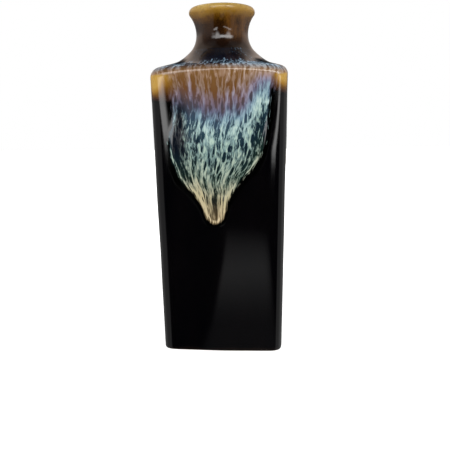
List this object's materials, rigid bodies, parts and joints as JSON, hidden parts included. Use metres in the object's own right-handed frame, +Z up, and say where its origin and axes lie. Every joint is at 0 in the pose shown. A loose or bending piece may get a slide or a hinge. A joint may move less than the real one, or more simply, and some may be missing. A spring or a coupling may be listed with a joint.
{
  "type": "sake bottle",
  "caption": "Square sake bottle in glazed stoneware with a sloping shoulder, a narrow round neck and a flared lip for pouring.",
  "frame": {"origin": "middle of the foot, on the surface that the bottle stands on", "axes": "+Z up the bottle towards the mouth; the face with the long drip looks along -Y; +X is to the right of that face"},
  "size_m": [0.0772, 0.0772, 0.2],
  "materials": {
    "bare_clay": "unglazed buff stoneware, dry and slightly gritty",
    "covered_clay": "stoneware under the glaze",
    "liner_glaze": "glossy brown-black lining glaze",
    "black_glaze": "mirror-gloss black glaze",
    "rutile_glaze": "glossy streaked rutile glaze, amber to mauve, blue and cream",
    "amber_glaze": "glossy amber glaze that darkens to brown-black down the neck"
  },
  "bodies": {
    "root": {"base_slab": "bare_clay", "body_walls": "covered_clay", "shoulder_cap": "covered_clay", "neck_collar": "covered_clay", "liner_glaze": "liner_glaze", "black_glaze": "black_glaze", "rutile_glaze": "rutile_glaze", "amber_glaze": "amber_glaze"}
  },
  "joints": []
}
